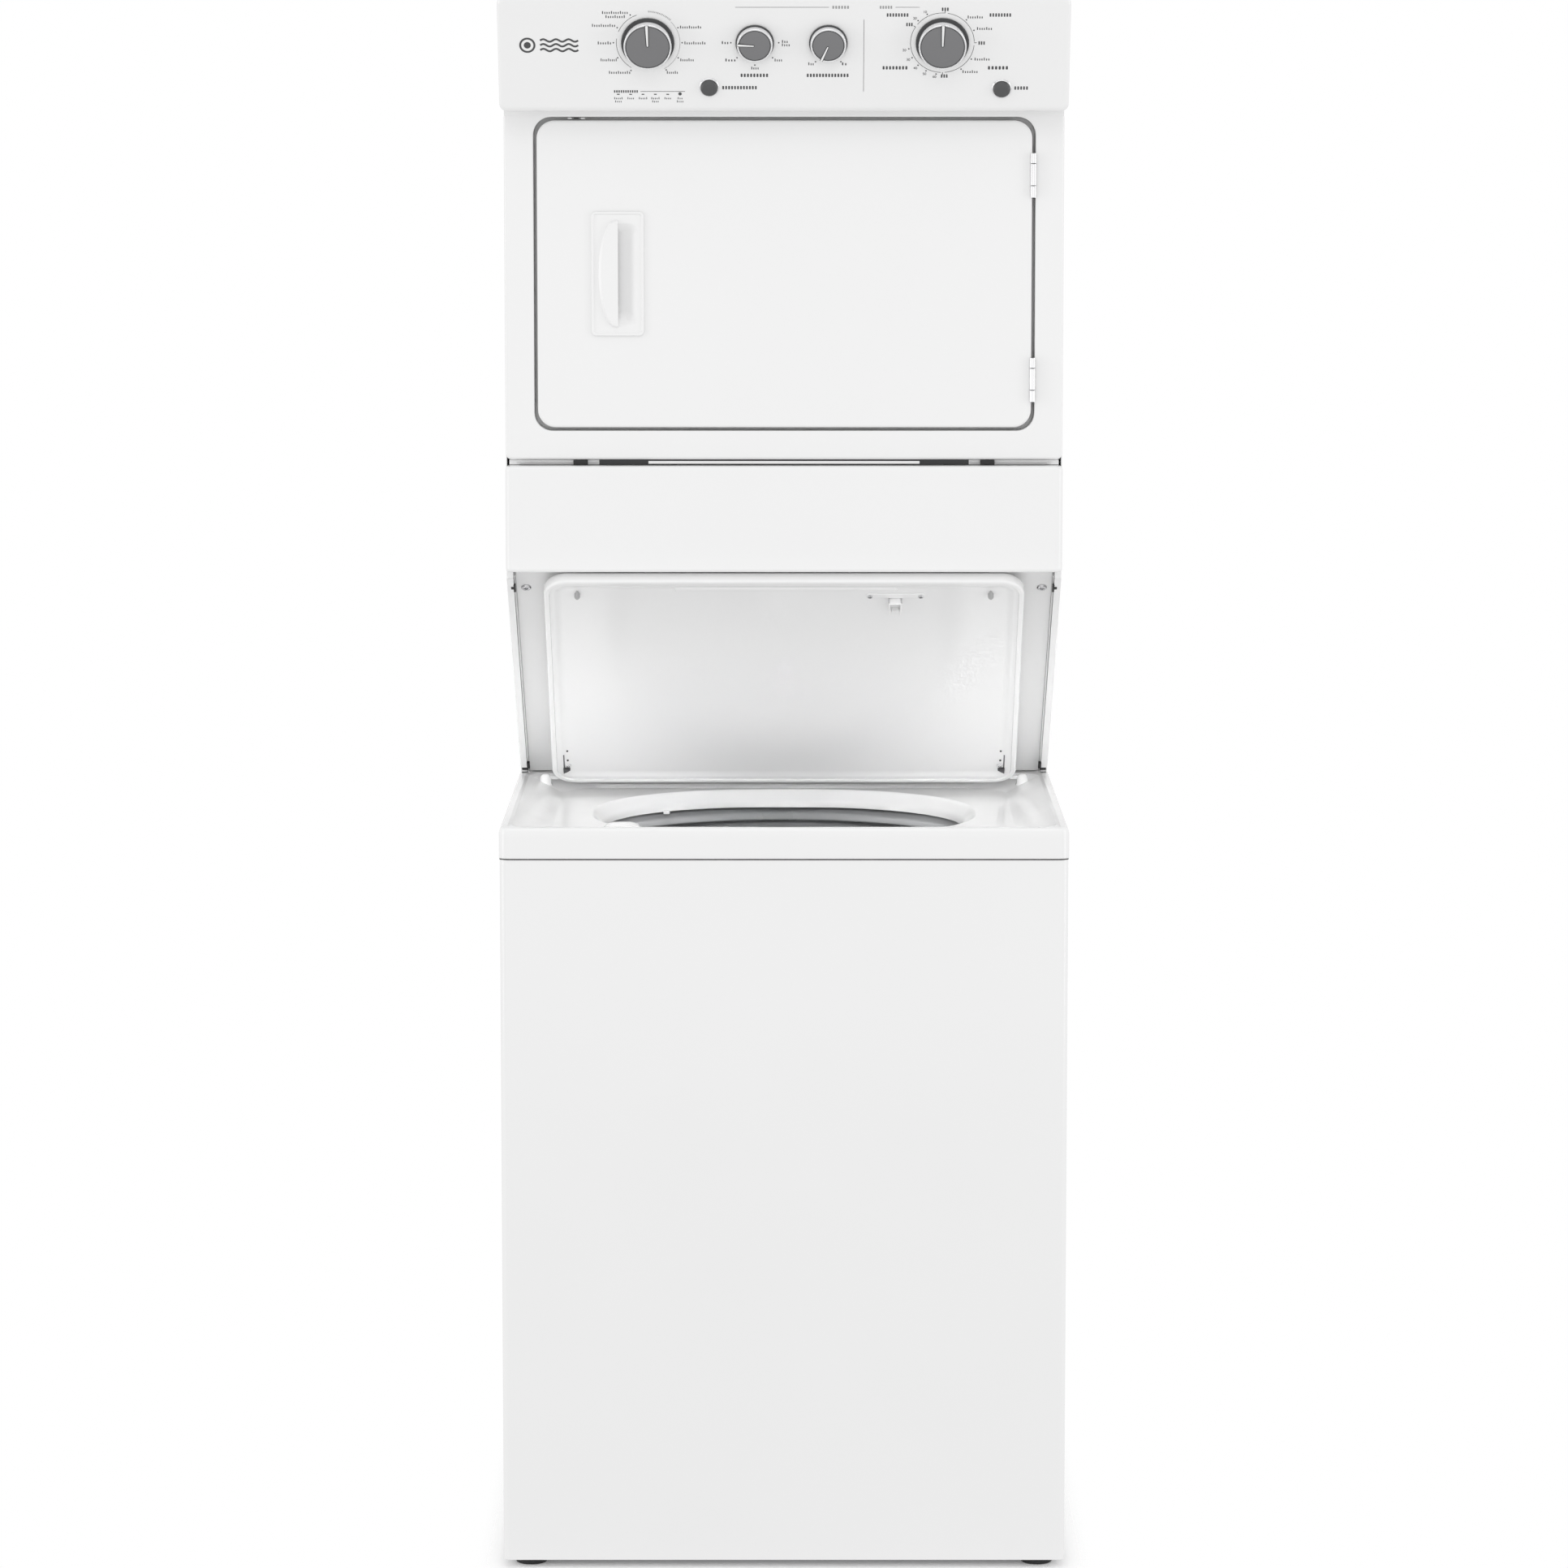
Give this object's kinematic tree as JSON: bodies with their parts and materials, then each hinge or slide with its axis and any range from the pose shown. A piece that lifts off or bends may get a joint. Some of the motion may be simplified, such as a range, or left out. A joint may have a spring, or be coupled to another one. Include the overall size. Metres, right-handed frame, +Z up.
{
  "type": "washer dryer stack",
  "caption": "Stacked laundry centre: top-loading washer with its lid open below, tumble dryer with a side-hinged door above, and a console of knobs and buttons on top.",
  "frame": {"origin": "on the floor, under the middle of the overall box", "axes": "+Z up, +X to the right seen from the front, -Y towards the user"},
  "size_m": [0.692, 0.821, 1.918],
  "materials": {
    "white_enamel": "glossy white appliance enamel",
    "zinc_sheet": "zinc coated sheet steel",
    "steel": "plated steel",
    "basket_steel": "perforated stainless steel",
    "tub_plastic": "light grey moulded plastic",
    "white_plastic": "white moulded plastic",
    "control_grey": "satin grey moulded plastic with a bright ring",
    "lint_grey": "grey plastic frame with a fine mesh",
    "black_plastic": "black moulded plastic",
    "rubber": "black rubber"
  },
  "bodies": {
    "cabinet": {"washer_cabinet": "white_enamel", "washer_top_deck": "white_enamel", "side_skin_left": "white_enamel", "side_skin_right": "white_enamel", "slant_panel": "white_enamel", "mid_panel": "white_enamel", "dryer_top_panel": "white_enamel", "front_bulkhead": "white_enamel", "dryer_front_panel": "white_enamel", "console_shell": "white_enamel", "washer_base": "zinc_sheet", "washer_rear_panel": "zinc_sheet", "dryer_rear_panel": "zinc_sheet", "dryer_base_pan": "zinc_sheet", "gearcase": "zinc_sheet", "blower_housing": "zinc_sheet", "exhaust_duct": "zinc_sheet", "heater_box": "zinc_sheet", "suspension_rod_1": "zinc_sheet", "suspension_rod_2": "zinc_sheet", "suspension_rod_3": "zinc_sheet", "suspension_rod_4": "zinc_sheet", "washer_motor": "steel", "lid_hinge_left": "steel", "lid_hinge_right": "steel", "door_hinge_lower": "steel", "door_hinge_upper": "steel", "dryer_motor": "steel", "outer_tub": "tub_plastic", "tub_ring": "tub_plastic", "water_valve": "white_plastic", "lint_duct": "white_plastic", "drain_pump": "black_plastic", "levelling_foot_1": "rubber", "levelling_foot_2": "rubber", "levelling_foot_3": "rubber", "levelling_foot_4": "rubber", "drive_belt": "rubber", "drum_belt": "rubber"},
    "basket": {"wash_basket": "basket_steel", "balance_ring": "tub_plastic", "drive_shaft": "steel", "drive_pulley": "steel"},
    "agitator": {"agitator": "white_plastic", "agitator_cap": "white_plastic"},
    "motor_pulley": {"motor_pulley": "steel"},
    "lid": {"lid_outer": "white_enamel", "lid_inner": "white_enamel"},
    "dryer_door": {"door_outer": "white_enamel", "door_inner": "white_plastic", "door_handle": "white_plastic", "door_seal": "rubber"},
    "drum": {"dryer_drum": "white_enamel"},
    "lint_screen": {"lint_screen": "lint_grey"},
    "cycle_knob": {"cycle_knob": "control_grey"},
    "temperature_knob": {"temperature_knob": "control_grey"},
    "softener_knob": {"softener_knob": "control_grey"},
    "timer_knob": {"timer_knob": "control_grey"},
    "washer_start_button": {"washer_start_button": "control_grey"},
    "dryer_start_button": {"dryer_start_button": "control_grey"}
  },
  "joints": [
    {"name": "basket_spin", "type": "hinge", "parent": "cabinet", "child": "basket", "pos_m": [0, -0.1105, 0.5], "axis": [0, 0, 1], "continuous": true},
    {"name": "agitator_turn", "type": "hinge", "parent": "basket", "child": "agitator", "pos_m": [0, -0.1105, 0.5], "axis": [0, 0, 1], "continuous": true},
    {"name": "motor_spin", "type": "hinge", "parent": "cabinet", "child": "motor_pulley", "pos_m": [0.19, -0.1105, 0.095], "axis": [0, 0, 1], "continuous": true},
    {"name": "lid_hinge", "type": "hinge", "parent": "cabinet", "child": "lid", "pos_m": [0, 0.1065, 0.915], "axis": [1, 0, 0], "range_deg": [0, 40]},
    {"name": "door_hinge", "type": "hinge", "parent": "cabinet", "child": "dryer_door", "pos_m": [0.3052, -0.2385, 1.5805], "axis": [0, 0, 1], "range_deg": [0, 160]},
    {"name": "drum_spin", "type": "hinge", "parent": "cabinet", "child": "drum", "pos_m": [0, 0.0895, 1.575], "axis": [0, 1, 0], "continuous": true},
    {"name": "lint_slide", "type": "slide", "parent": "cabinet", "child": "lint_screen", "axis": [0, 0, 1], "range_m": [0, 0.155]},
    {"name": "cycle_turn", "type": "hinge", "parent": "cabinet", "child": "cycle_knob", "pos_m": [-0.1645, -0.31, 1.8625], "axis": [0, 0.9265, 0.3762], "continuous": true},
    {"name": "temperature_turn", "type": "hinge", "parent": "cabinet", "child": "temperature_knob", "pos_m": [-0.0353, -0.31, 1.8625], "axis": [0, 0.9265, 0.3762], "range_deg": [-180, 0]},
    {"name": "softener_turn", "type": "hinge", "parent": "cabinet", "child": "softener_knob", "pos_m": [0.0535, -0.31, 1.8625], "axis": [0, 0.9265, 0.3762], "range_deg": [-64, 0]},
    {"name": "timer_turn", "type": "hinge", "parent": "cabinet", "child": "timer_knob", "pos_m": [0.1912, -0.31, 1.8625], "axis": [0, 0.9265, 0.3762], "continuous": true},
    {"name": "washer_start_press", "type": "slide", "parent": "cabinet", "child": "washer_start_button", "axis": [0, 0.9265, 0.3762], "range_m": [0, 0.003], "stiffness_N_per_m": 700, "springref_m": -0.0005},
    {"name": "dryer_start_press", "type": "slide", "parent": "cabinet", "child": "dryer_start_button", "axis": [0, 0.9265, 0.3762], "range_m": [0, 0.003], "stiffness_N_per_m": 700, "springref_m": -0.0005}
  ],
  "couplings": [
    {"joint": "motor_spin", "follows": "basket_spin", "ratio": 3.4091}
  ]
}
